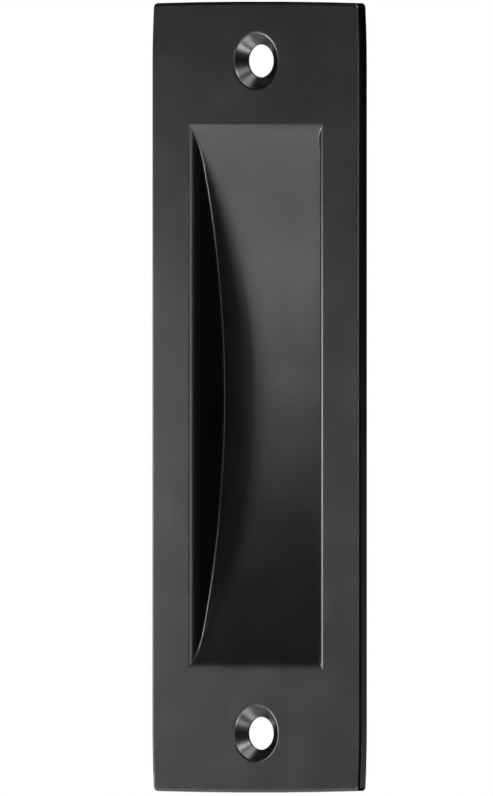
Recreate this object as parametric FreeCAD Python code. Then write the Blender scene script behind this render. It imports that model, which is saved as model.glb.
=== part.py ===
"""Pocket door pull: one casting with a flat plate, a scooped finger pocket and two countersunk screw holes.

Millimetres. X runs across the plate, Z along it, and the front faces -Y. The origin is the centre
of the plate's back face, which seats on the door. The pocket's shell stands behind it, in +Y.
"""
import FreeCAD, Part
import math
import os

Vec = FreeCAD.Vector

# Plate
PLATE_LENGTH = 120.0
PLATE_WIDTH = 40.4
PLATE_THICKNESS = 1.8
# how far each short end bulges at its middle, and each long side draws in at its corners
END_CROWN = 0.25
SIDE_EASE = 0.3
SIDE_EASE_LENGTH = 9.5
CORNER_RADIUS = 0.7
FRONT_EDGE_RADIUS = 0.5
BACK_EDGE_RADIUS = 0.2

# Finger pocket: flat side walls, and a floor that is one arc from end to end
POCKET_DEPTH = 6.9
RIM_AT_SIDES = 8.5
RIM_AT_ENDS = 19.1
SIDE_LIP_RADIUS = 1.4
END_LIP_RADIUS = 3.6
FLOOR_EDGE_RADIUS = 0.5
# how far the lips' curves stand out of the front face before they level off
LIP_OVERRUN = 0.003
SHELL_WALL = 1.5
SHELL_FOOT_RADIUS = 0.6

# Screw holes, countersunk from the front
HOLE_FROM_END = 9.0
HOLE_DIAMETER = 5.0
SINK_DIAMETER = 8.5
SINK_DEPTH = 1.25
SINK_LIP_RADIUS = 0.8
HOLE_BACK_CHAMFER = 0.2

# Worked out from the sizes above
HALF_LENGTH = PLATE_LENGTH / 2
HALF_WIDTH = PLATE_WIDTH / 2
FRONT_Y = -PLATE_THICKNESS
BACK_Y = 0.0
POCKET_HALF_LENGTH = HALF_LENGTH - RIM_AT_ENDS
POCKET_HALF_WIDTH = HALF_WIDTH - RIM_AT_SIDES
FLOOR_RADIUS = (POCKET_HALF_LENGTH ** 2 + POCKET_DEPTH ** 2) / (2 * POCKET_DEPTH)
FLOOR_CENTRE_Y = FRONT_Y + POCKET_DEPTH - FLOOR_RADIUS
HOLE_HEIGHTS = (HALF_LENGTH - HOLE_FROM_END, HOLE_FROM_END - HALF_LENGTH)
MOUTH_Y = FRONT_Y - LIP_OVERRUN
# lengths closer than this are the same
NEAR = 1e-4


def arc(start, middle, end):
    """An arc through three points."""
    return Part.Arc(start, middle, end).toShape()


def line(start, end):
    """A straight edge."""
    return Part.LineSegment(start, end).toShape()


def lies_at(edge, y):
    """Whether a whole edge lies in the plane at that Y."""
    box = edge.BoundBox
    return abs(box.YMin - y) < NEAR and abs(box.YMax - y) < NEAR


def lies_within(edge, half_width, half_length):
    """Whether an edge keeps inside a rectangle about the origin."""
    box = edge.BoundBox
    across = max(-box.XMin, box.XMax)
    along = max(-box.ZMin, box.ZMax)
    return across < half_width + NEAR and along < half_length + NEAR


def is_circle(edge, radius):
    """Whether an edge is a circle of that radius."""
    return isinstance(edge.Curve, Part.Circle) and abs(edge.Curve.Radius - radius) < NEAR


def long_side(sign):
    """One long side of the outline: straight, and eased in along an arc at each corner."""
    corner_z = HALF_LENGTH - END_CROWN
    straight_z = corner_z - SIDE_EASE_LENGTH
    ease_radius = (SIDE_EASE_LENGTH ** 2 + SIDE_EASE ** 2) / (2 * SIDE_EASE)
    half_turn = math.asin(SIDE_EASE_LENGTH / ease_radius) / 2
    middle_in = ease_radius * (1 - math.cos(half_turn))
    middle_z = straight_z + ease_radius * math.sin(half_turn)

    def at(inwards, z):
        return Vec(sign * (HALF_WIDTH - inwards), BACK_Y, z)

    return [
        arc(at(SIDE_EASE, -corner_z), at(middle_in, -middle_z), at(0, -straight_z)),
        line(at(0, -straight_z), at(0, straight_z)),
        arc(at(0, straight_z), at(middle_in, middle_z), at(SIDE_EASE, corner_z)),
    ]


def short_end(sign):
    """One short end of the outline: a shallow arc that is highest at its middle."""
    corner_x = HALF_WIDTH - SIDE_EASE
    corner_z = sign * (HALF_LENGTH - END_CROWN)
    return arc(
        Vec(-corner_x, BACK_Y, corner_z),
        Vec(0, BACK_Y, sign * HALF_LENGTH),
        Vec(corner_x, BACK_Y, corner_z),
    )


def is_corner(edge):
    """Whether an edge runs through the plate's thickness at a corner of the outline."""
    box = edge.BoundBox
    through = box.YLength > PLATE_THICKNESS - NEAR
    return through and abs(abs(box.Center.x) - (HALF_WIDTH - SIDE_EASE)) < NEAR


def make_plate():
    """The flat plate with its corners and edges rounded."""
    edges = long_side(1) + [short_end(1)] + long_side(-1) + [short_end(-1)]
    outline = Part.Wire(Part.sortEdges(edges)[0])
    plate = Part.Face(outline).extrude(Vec(0, FRONT_Y, 0))
    plate = plate.makeFillet(CORNER_RADIUS, [e for e in plate.Edges if is_corner(e)])
    plate = plate.makeFillet(FRONT_EDGE_RADIUS, [e for e in plate.Edges if lies_at(e, FRONT_Y)])
    return plate.makeFillet(BACK_EDGE_RADIUS, [e for e in plate.Edges if lies_at(e, BACK_Y)])


def add_shell(plate):
    """The pocket's shell: a slice of a wide cylinder behind the plate, with a rounded foot."""
    half_width = POCKET_HALF_WIDTH + SHELL_WALL
    shell_radius = FLOOR_RADIUS + SHELL_WALL
    mouth_y = FRONT_Y / 2
    half_mouth = math.sqrt(shell_radius ** 2 - (mouth_y - FLOOR_CENTRE_Y) ** 2)
    low = Vec(-half_width, mouth_y, -half_mouth)
    deepest = Vec(-half_width, FLOOR_CENTRE_Y + shell_radius, 0)
    high = Vec(-half_width, mouth_y, half_mouth)
    section = Part.Face(Part.Wire([arc(low, deepest, high), line(high, low)]))
    shell = section.extrude(Vec(2 * half_width, 0, 0))
    bends = [e for e in shell.Edges if is_circle(e, shell_radius)]
    body = plate.fuse(shell.makeFillet(FLOOR_EDGE_RADIUS + SHELL_WALL, bends))
    foot = [e for e in body.Edges if lies_at(e, BACK_Y) and lies_within(e, half_width, HALF_LENGTH)]
    return body.makeFillet(SHELL_FOOT_RADIUS, foot)


def pocket_along():
    """The pocket's section along the plate: the floor's arc, and a rounded lip at each end."""
    lip_y = MOUTH_Y + END_LIP_RADIUS
    lip_z = math.sqrt((FLOOR_RADIUS + END_LIP_RADIUS) ** 2 - (lip_y - FLOOR_CENTRE_Y) ** 2)
    lip_turn = math.atan2(lip_z, lip_y - FLOOR_CENTRE_Y)
    floor_end_y = FLOOR_CENTRE_Y + FLOOR_RADIUS * math.cos(lip_turn)
    floor_end_z = FLOOR_RADIUS * math.sin(lip_turn)
    lip_middle_y = lip_y - END_LIP_RADIUS * math.cos(lip_turn / 2)
    lip_middle_z = lip_z - END_LIP_RADIUS * math.sin(lip_turn / 2)

    def at(y, z):
        return Vec(-HALF_WIDTH, y, z)

    return Part.Face(Part.Wire([
        arc(at(MOUTH_Y, -lip_z), at(lip_middle_y, -lip_middle_z), at(floor_end_y, -floor_end_z)),
        arc(at(floor_end_y, -floor_end_z), at(FRONT_Y + POCKET_DEPTH, 0), at(floor_end_y, floor_end_z)),
        arc(at(floor_end_y, floor_end_z), at(lip_middle_y, lip_middle_z), at(MOUTH_Y, lip_z)),
        line(at(MOUTH_Y, lip_z), at(MOUTH_Y, -lip_z)),
    ]))


def pocket_across():
    """The pocket's section across the plate: two flat walls, and a rounded lip on each."""
    deep_y = FRONT_Y + 2 * POCKET_DEPTH
    lip_y = MOUTH_Y + SIDE_LIP_RADIUS
    lip_x = POCKET_HALF_WIDTH + SIDE_LIP_RADIUS
    middle = SIDE_LIP_RADIUS * (1 - math.sqrt(0.5))

    def at(x, y):
        return Vec(x, y, -HALF_LENGTH)

    def lip(sign):
        front = at(sign * lip_x, MOUTH_Y)
        halfway = at(sign * (POCKET_HALF_WIDTH + middle), MOUTH_Y + middle)
        return arc(front, halfway, at(sign * POCKET_HALF_WIDTH, lip_y))

    return Part.Face(Part.Wire(Part.sortEdges([
        lip(-1),
        line(at(-POCKET_HALF_WIDTH, lip_y), at(-POCKET_HALF_WIDTH, deep_y)),
        line(at(-POCKET_HALF_WIDTH, deep_y), at(POCKET_HALF_WIDTH, deep_y)),
        line(at(POCKET_HALF_WIDTH, deep_y), at(POCKET_HALF_WIDTH, lip_y)),
        lip(1),
        line(at(lip_x, MOUTH_Y), at(-lip_x, MOUTH_Y)),
    ])[0]))


def is_floor_edge(edge):
    """Whether an edge is one of the two arcs where the pocket's floor meets its side walls."""
    box = edge.BoundBox
    return box.XLength < NEAR and abs(box.YMax - (FRONT_Y + POCKET_DEPTH)) < NEAR


def cut_pocket(body):
    """The scooped finger pocket: where its two sections overlap, with its floor's edges rounded."""
    long_scoop = pocket_along().extrude(Vec(PLATE_WIDTH, 0, 0))
    wide_slot = pocket_across().extrude(Vec(0, 0, PLATE_LENGTH))
    pocket = long_scoop.common(wide_slot).Solids[0]
    pocket = pocket.makeFillet(FLOOR_EDGE_RADIUS, [e for e in pocket.Edges if is_floor_edge(e)])
    return body.cut(pocket)


def cut_screw_holes(body):
    """The two screw holes, each with a countersink, a rounded rim and a chamfered back edge."""
    backwards = Vec(0, 1, 0)
    for z in HOLE_HEIGHTS:
        front = Vec(0, FRONT_Y, z)
        body = body.cut(Part.makeCylinder(HOLE_DIAMETER / 2, PLATE_THICKNESS, front, backwards))
        body = body.cut(Part.makeCone(SINK_DIAMETER / 2, HOLE_DIAMETER / 2, SINK_DEPTH, front, backwards))
    rims = [e for e in body.Edges if is_circle(e, SINK_DIAMETER / 2) and lies_at(e, FRONT_Y)]
    body = body.makeFillet(SINK_LIP_RADIUS, rims)
    backs = [e for e in body.Edges if is_circle(e, HOLE_DIAMETER / 2) and lies_at(e, BACK_Y)]
    return body.makeChamfer(HOLE_BACK_CHAMFER, backs)


pull_body = cut_pocket(cut_screw_holes(add_shell(make_plate())))

os.makedirs("parts", exist_ok=True)
pull_body.exportStep("parts/pull_body.step")
print("pull_body: %d solid, valid %s, %.1f mm3" % (len(pull_body.Solids), pull_body.isValid(), pull_body.Volume))
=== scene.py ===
"""Black pocket door pull: the coat on its casting, the studio round it and the camera.

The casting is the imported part's one node, and it keeps its shape. Metres. X runs across the
plate, Z along it, and the front faces -Y.
"""

import logging
import math
from dataclasses import dataclass, field
from enum import Enum

import bmesh
import bpy
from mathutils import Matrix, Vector


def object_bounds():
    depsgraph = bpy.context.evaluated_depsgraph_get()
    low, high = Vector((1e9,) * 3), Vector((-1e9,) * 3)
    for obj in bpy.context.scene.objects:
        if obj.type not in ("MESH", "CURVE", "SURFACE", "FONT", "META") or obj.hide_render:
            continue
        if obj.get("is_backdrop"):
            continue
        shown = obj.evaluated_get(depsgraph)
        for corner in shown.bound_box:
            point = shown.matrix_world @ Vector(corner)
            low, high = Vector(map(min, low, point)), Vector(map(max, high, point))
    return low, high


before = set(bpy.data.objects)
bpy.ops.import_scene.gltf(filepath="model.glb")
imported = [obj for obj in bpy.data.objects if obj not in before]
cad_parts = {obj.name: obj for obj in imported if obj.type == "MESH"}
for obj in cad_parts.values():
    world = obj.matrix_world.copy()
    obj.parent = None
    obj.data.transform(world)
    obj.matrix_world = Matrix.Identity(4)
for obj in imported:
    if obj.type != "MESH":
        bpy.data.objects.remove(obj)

log = logging.getLogger("pocket_pull")

PHOTO_WIDTH = 493
PHOTO_HEIGHT = 796

Colour = tuple[float, float, float]
WHITE: Colour = (1, 1, 1)


class Ray(Enum):
    """The kinds of ray that see the floor and the surroundings as white."""

    CAMERA = "Is Camera Ray"
    GLOSSY = "Is Glossy Ray"
    TRANSMISSION = "Is Transmission Ray"


def bearing(azimuth: float, elevation: float) -> Vector:
    """Gives the direction from the pull towards a lamp or the camera.

    Args:
        azimuth: Degrees from straight in front, towards the pull's right.
        elevation: Degrees above the horizon.

    Returns:
        A unit vector.
    """
    turn, rise = math.radians(azimuth), math.radians(elevation)
    return Vector(
        (math.sin(turn) * math.cos(rise), -math.cos(turn) * math.cos(rise), math.sin(rise))
    )


def turned_object(
    name: str, data: bpy.types.ID, aim: Vector, direction: Vector, distance: float
) -> bpy.types.Object:
    """Makes the object of a lamp or a camera, turned to what it looks at.

    Args:
        name: The object's name.
        data: The lamp or the camera itself.
        aim: The place that it looks at.
        direction: The direction from that place towards it.
        distance: How far from that place it stands.

    Returns:
        The object, in the scene.
    """
    thing = bpy.data.objects.new(name, data)
    thing.location = aim + direction * distance
    thing.rotation_mode = "QUATERNION"
    thing.rotation_quaternion = direction.to_track_quat("Z", "Y")
    bpy.context.scene.collection.objects.link(thing)
    return thing


def mesh_object(
    name: str, shape: bmesh.types.BMesh, material: bpy.types.Material
) -> bpy.types.Object:
    """Makes the object of a finished shape, and frees the shape.

    Args:
        name: The object's name.
        shape: Its shape, in place.
        material: What it is made of.

    Returns:
        The object, in the scene.
    """
    mesh = bpy.data.meshes.new(name)
    shape.to_mesh(mesh)
    shape.free()
    mesh.materials.append(material)
    thing = bpy.data.objects.new(name, mesh)
    bpy.context.scene.collection.objects.link(thing)
    return thing


def new_material(name: str, colour: Colour) -> tuple[bpy.types.Material, bpy.types.ShaderNode]:
    """Makes a material that is one shader of a plain colour.

    Args:
        name: The material's name.
        colour: Its colour.

    Returns:
        The material and its shader.
    """
    material = bpy.data.materials.new(name)
    material.use_nodes = True
    shader = material.node_tree.nodes["Principled BSDF"]
    shader.inputs["Base Color"].default_value = (*colour, 1)
    return material, shader


def white_for(tree: bpy.types.NodeTree) -> bpy.types.NodeSocket:
    """Adds nodes that give 1 for the rays that see white and 0 for the others.

    Args:
        tree: The material's or the world's nodes.

    Returns:
        The socket with the answer.
    """
    light_path = tree.nodes.new("ShaderNodeLightPath")
    first, *others = Ray
    answer = light_path.outputs[first.value]
    for ray in others:
        either = tree.nodes.new("ShaderNodeMath")
        either.operation = "MAXIMUM"
        tree.links.new(answer, either.inputs[0])
        tree.links.new(light_path.outputs[ray.value], either.inputs[1])
        answer = either.outputs[0]
    return answer


@dataclass(frozen=True)
class SatinBlackCoat:
    """A thin black coat with a satin sheen, faintly uneven as sprayed and baked coats are.

    Attributes:
        name: The material's name.
        colour: The coat's own colour, before its sheen.
        ior: Its index of refraction, as of a baked epoxy.
        roughness: How matt the coat is where it lies evenly.
        roughness_swing: How far its roughness drifts either way, from patch to patch.
        patch_size: How large the patches are.
        patch_detail: How many finer steps of unevenness the patches' outlines have.
        patch_from: The value of the patches' noise at which the coat is glossiest.
        patch_to: The value at which it is most matt.
        wave_size: How long the waves are that the casting keeps under its coat.
        wave_height: How high they stand.
        grain_size: How large the coat's fine pimples are.
        grain_height: How high the pimples stand.
        relief_detail: How many finer steps of unevenness the waves and the pimples have.
    """

    name: str = "satin_black_coat"
    colour: Colour = (0.004, 0.004, 0.0042)
    ior: float = 1.6
    roughness: float = 0.25
    roughness_swing: float = 0.02
    patch_size: float = 0.006
    patch_detail: float = 4
    patch_from: float = 0.3
    patch_to: float = 0.7
    wave_size: float = 0.016
    wave_height: float = 0.00007
    grain_size: float = 0.00035
    grain_height: float = 0.0000015
    relief_detail: float = 1

    def material(self) -> bpy.types.Material:
        """Builds the coat's material.

        Returns:
            The material, with its patterns on Object coordinates.
        """
        material, shader = new_material(self.name, self.colour)
        tree = material.node_tree
        shader.inputs["IOR"].default_value = self.ior
        place = tree.nodes.new("ShaderNodeTexCoord").outputs["Object"]
        tree.links.new(self.patches(tree, place), shader.inputs["Roughness"])
        waves = self.relief(tree, place, self.wave_size, self.wave_height)
        grain = self.relief(tree, place, self.grain_size, self.grain_height, under=waves)
        tree.links.new(grain, shader.inputs["Normal"])
        return material

    def noise(
        self, tree: bpy.types.NodeTree, place: bpy.types.NodeSocket, size: float, detail: float
    ) -> bpy.types.NodeSocket:
        """Adds a noise that lies fixed on the casting.

        Args:
            tree: The material's nodes.
            place: The Object coordinates.
            size: How large its spots are.
            detail: How many finer steps of unevenness they have.

        Returns:
            The noise's value.
        """
        noise = tree.nodes.new("ShaderNodeTexNoise")
        noise.inputs["Scale"].default_value = 1 / size
        noise.inputs["Detail"].default_value = detail
        tree.links.new(place, noise.inputs["Vector"])
        return noise.outputs["Fac"]

    def patches(
        self, tree: bpy.types.NodeTree, place: bpy.types.NodeSocket
    ) -> bpy.types.NodeSocket:
        """Lets the roughness drift from patch to patch.

        Args:
            tree: The material's nodes.
            place: The Object coordinates.

        Returns:
            The roughness.
        """
        spots = self.noise(tree, place, self.patch_size, self.patch_detail)
        drift = tree.nodes.new("ShaderNodeMapRange")
        drift.inputs["From Min"].default_value = self.patch_from
        drift.inputs["From Max"].default_value = self.patch_to
        drift.inputs["To Min"].default_value = self.roughness - self.roughness_swing
        drift.inputs["To Max"].default_value = self.roughness + self.roughness_swing
        tree.links.new(spots, drift.inputs["Value"])
        return drift.outputs["Result"]

    def relief(
        self,
        tree: bpy.types.NodeTree,
        place: bpy.types.NodeSocket,
        size: float,
        height: float,
        under: bpy.types.NodeSocket | None = None,
    ) -> bpy.types.NodeSocket:
        """Gives the coat one scale of its faint unevenness.

        Args:
            tree: The material's nodes.
            place: The Object coordinates.
            size: How large the bumps are.
            height: How high they stand.
            under: The normal of a larger unevenness that these lie on.

        Returns:
            The bent normal.
        """
        bumps = self.noise(tree, place, size, self.relief_detail)
        bump = tree.nodes.new("ShaderNodeBump")
        bump.inputs["Distance"].default_value = height
        tree.links.new(bumps, bump.inputs["Height"])
        if under:
            tree.links.new(under, bump.inputs["Normal"])
        return bump.outputs["Normal"]


@dataclass(frozen=True)
class BlackCloth:
    """A matt black cloth without any sheen.

    Attributes:
        name: The material's name.
        colour: The cloth's colour.
        roughness: How matt it is.
        specular: How strong its sheen is.
    """

    name: str = "black_cloth"
    colour: Colour = (0, 0, 0)
    roughness: float = 1
    specular: float = 0

    def material(self) -> bpy.types.Material:
        """Builds the cloth's material.

        Returns:
            The material.
        """
        material, shader = new_material(self.name, self.colour)
        shader.inputs["Roughness"].default_value = self.roughness
        shader.inputs["Specular IOR Level"].default_value = self.specular
        return material


@dataclass(frozen=True)
class WhitePaper:
    """The floor's paper, which is seen as white, with the pull's soft shadow painted on it.

    Attributes:
        name: The material's name.
        colour: The grey that it has under the lamps, before it is seen as white.
        roughness: How matt it is.
        painted_shadow_reach: How far round the pull its painted soft shadow reaches.
    """

    name: str = "white_paper"
    colour: Colour = (0.2, 0.2, 0.2)
    roughness: float = 1
    painted_shadow_reach: float = 0.05

    def material(self) -> bpy.types.Material:
        """Builds the paper's material.

        Returns:
            The material.
        """
        material, shader = new_material(self.name, self.colour)
        tree = material.node_tree
        shader.inputs["Roughness"].default_value = self.roughness
        # painted shadow: ambient occlusion darkens the floor's white emission round the pull,
        # as a soft shadow
        shadow = tree.nodes.new("ShaderNodeAmbientOcclusion")
        shadow.inputs["Distance"].default_value = self.painted_shadow_reach
        tree.links.new(shadow.outputs["Color"], shader.inputs["Emission Color"])
        tree.links.new(white_for(tree), shader.inputs["Emission Strength"])
        return material


@dataclass
class Casting:
    """The pull itself: one casting, with its plate, its finger pocket and its screw holes.

    Attributes:
        node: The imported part's node.
        coat: The finish of all its faces.
    """

    node: str = "pull_body"
    coat: SatinBlackCoat = field(default_factory=SatinBlackCoat)

    def dress(self) -> bpy.types.Object:
        """Gives the casting its coat.

        Returns:
            The casting's object.
        """
        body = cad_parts[self.node]
        body.data.materials.clear()
        body.data.materials.append(self.coat.material())
        return body


@dataclass(frozen=True)
class Softbox:
    """One soft square lamp that faces the pull.

    Attributes:
        name: What the lamp is for.
        azimuth: Degrees from straight in front, towards the pull's right.
        elevation: Degrees above the horizon.
        width: How wide and high it is.
        watts: Its power.
        distance: How far from the pull it stands.
    """

    name: str
    azimuth: float
    elevation: float
    width: float
    watts: float
    distance: float = 0.6

    def place(self) -> bpy.types.Object:
        """Makes the lamp and turns it to the pull.

        Returns:
            The lamp's object.
        """
        data = bpy.data.lights.new(self.name, "AREA")
        data.shape = "SQUARE"
        data.size = self.width
        data.energy = self.watts
        direction = bearing(self.azimuth, self.elevation)
        return turned_object(self.name, data, Vector(), direction, self.distance)


@dataclass(frozen=True)
class BlackTent:
    """A tent of black cloth round the lamps, which only the coat's reflections see.

    It's open where the photo's reflections are light: low down, on the pull's left.

    Attributes:
        name: The tent's name.
        radius: How far from the pull the cloth hangs.
        panels: How many panels it has all round.
        window_from: The azimuth where the opening starts.
        window_to: The azimuth where it ends.
        window_top: The elevation that it reaches up to.
        cloth: What it is made of.
    """

    name: str = "black_tent"
    radius: float = 1.2
    panels: int = 72
    window_from: float = -150
    window_to: float = 0
    window_top: float = -10
    cloth: BlackCloth = field(default_factory=BlackCloth)

    def is_open(self, place: Vector) -> bool:
        """Says whether the opening covers a place on the tent.

        Args:
            place: The place, from the tent's middle.

        Returns:
            Whether it's open there.
        """
        azimuth = math.degrees(math.atan2(place.x, -place.y))
        elevation = math.degrees(math.asin(place.z / place.length))
        return self.window_from < azimuth < self.window_to and elevation < self.window_top

    def place(self) -> bpy.types.Object:
        """Hangs the tent.

        Returns:
            The tent's object.
        """
        shape = bmesh.new()
        bmesh.ops.create_uvsphere(
            shape, u_segments=self.panels, v_segments=self.panels // 2, radius=self.radius
        )
        opening = [panel for panel in shape.faces if self.is_open(panel.calc_center_median())]
        bmesh.ops.delete(shape, geom=opening, context="FACES")
        tent = mesh_object(self.name, shape, self.cloth.material())
        tent.visible_camera = False
        tent.visible_diffuse = False
        tent.visible_shadow = False
        tent.visible_transmission = False
        tent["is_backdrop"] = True
        return tent


@dataclass
class Studio:
    """The white floor that the pull stands on, the white surroundings, the tent and the lamps.

    Attributes:
        floor_width: How wide the floor is, either way.
        paper: What the floor is made of.
        fill: How strongly the surroundings light the pull.
        white: How bright the surroundings look, where 1 is white.
        tent: The tent round the lamps.
        lamps: The lamps, each named for what it lights.
    """

    floor_width: float = 3.0
    paper: WhitePaper = field(default_factory=WhitePaper)
    fill: float = 0.02
    white: float = 1
    tent: BlackTent = field(default_factory=BlackTent)
    lamps: tuple[Softbox, ...] = (
        Softbox("face_low", -50, -8, 0.1, 0.18),
        Softbox("face_low_left", -57, -8, 0.1, 0.36),
        Softbox("face_level", -50, 0, 0.1, 0.045),
        Softbox("face_level_right", -40, 0, 0.1, 0.01),
        Softbox("face_near_left", -57, 0, 0.05, 0.052, 0.25),
        Softbox("face_near", -50, 0, 0.05, 0.016, 0.25),
        Softbox("face_right", -31, -2, 0.1, 0.01),
        Softbox("floor_low", -57, -16, 0.1, 0.14),
        Softbox("floor_lowest", -50, -32, 0.1, 0.15),
        Softbox("lip_front", -10, 0, 0.1, 0.2),
        Softbox("arc_middle", 5, 0, 0.1, 0.09),
        Softbox("arc_upper_end", 14, -30, 0.14, 1.3),
        Softbox("arc_lower_end", 14, 30, 0.14, 1.35),
        Softbox("sink_upper", -14, -50, 0.24, 1),
        Softbox("sink_lower", -14, 50, 0.24, 0.95),
        Softbox("side_and_back", 128, -18, 0.3, 0.25),
    )

    def floor(self) -> bpy.types.Object:
        """Lays the floor under the pull's lower end.

        Returns:
            The floor's object.
        """
        shape = bmesh.new()
        bmesh.ops.create_grid(shape, x_segments=1, y_segments=1, size=self.floor_width / 2)
        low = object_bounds()[0].z
        bmesh.ops.translate(shape, vec=Vector((0, 0, low)), verts=shape.verts)
        floor = mesh_object("floor", shape, self.paper.material())
        # the lamps under the floor shine through it, and the coat doesn't reflect it
        floor.visible_shadow = False
        floor.visible_glossy = False
        floor.visible_diffuse = False
        floor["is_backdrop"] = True
        return floor

    def surroundings(self) -> bpy.types.World:
        """Makes everything beyond the floor look white, with a faint grey fill as its light.

        Returns:
            The world.
        """
        world = bpy.data.worlds.new("surroundings")
        world.use_nodes = True
        tree = world.node_tree
        fill = tree.nodes["Background"]
        white = tree.nodes.new("ShaderNodeBackground")
        for background, strength in ((fill, self.fill), (white, self.white)):
            background.inputs["Color"].default_value = (*WHITE, 1)
            background.inputs["Strength"].default_value = strength
        either = tree.nodes.new("ShaderNodeMixShader")
        tree.links.new(white_for(tree), either.inputs["Fac"])
        tree.links.new(fill.outputs[0], either.inputs[1])
        tree.links.new(white.outputs[0], either.inputs[2])
        tree.links.new(either.outputs[0], tree.nodes["World Output"].inputs["Surface"])
        bpy.context.scene.world = world
        return world

    def build(self) -> None:
        """Sets up the whole studio and reports what stands in it."""
        stage = [self.floor(), self.surroundings(), self.tent.place()]
        stage += [lamp.place() for lamp in self.lamps]
        log.info("studio: %s", ", ".join(thing.name for thing in stage))


@dataclass(frozen=True)
class PhotoCamera:
    """The camera: level with the pull's middle, from its right, and as if from far away.

    Attributes:
        name: The camera's name.
        azimuth: Degrees from straight in front, towards the pull's right.
        plate_pixels: The plate's length in the picture.
        face_column: The pixel column of the front face's middle.
        face_row: The pixel row of the front face's middle.
        distance: How far away the camera stands.
    """

    name: str = "camera"
    azimuth: float = 38.35
    plate_pixels: float = 791.0
    face_column: float = 255.6
    face_row: float = 397.1
    distance: float = 0.5

    def place(self) -> bpy.types.Object:
        """Makes the camera and puts the front face's middle at its pixel.

        Returns:
            The camera's object.
        """
        low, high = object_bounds()
        pixel = (high.z - low.z) / self.plate_pixels
        data = bpy.data.cameras.new(self.name)
        data.type = "ORTHO"
        data.ortho_scale = PHOTO_HEIGHT * pixel
        turn = math.radians(self.azimuth)
        right = Vector((math.cos(turn), math.sin(turn), 0))
        aim = Vector(((low.x + high.x) / 2, low.y, (low.z + high.z) / 2))
        aim -= right * (self.face_column - PHOTO_WIDTH / 2) * pixel
        aim += Vector((0, 0, 1)) * (self.face_row - PHOTO_HEIGHT / 2) * pixel
        camera = turned_object(self.name, data, aim, bearing(self.azimuth, 0), self.distance)
        bpy.context.scene.camera = camera
        return camera


def main() -> None:
    """Dresses the casting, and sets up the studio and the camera."""
    logging.basicConfig(level=logging.INFO, format="%(message)s")
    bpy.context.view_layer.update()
    bpy.context.scene.view_settings.view_transform = "Standard"
    body = Casting().dress()
    log.info("casting %s: %d faces", body.name, len(body.data.polygons))
    Studio().build()
    camera = PhotoCamera().place()
    log.info("%s: %.4f m from top to bottom", camera.name, camera.data.ortho_scale)


if __name__ == "__main__":
    main()
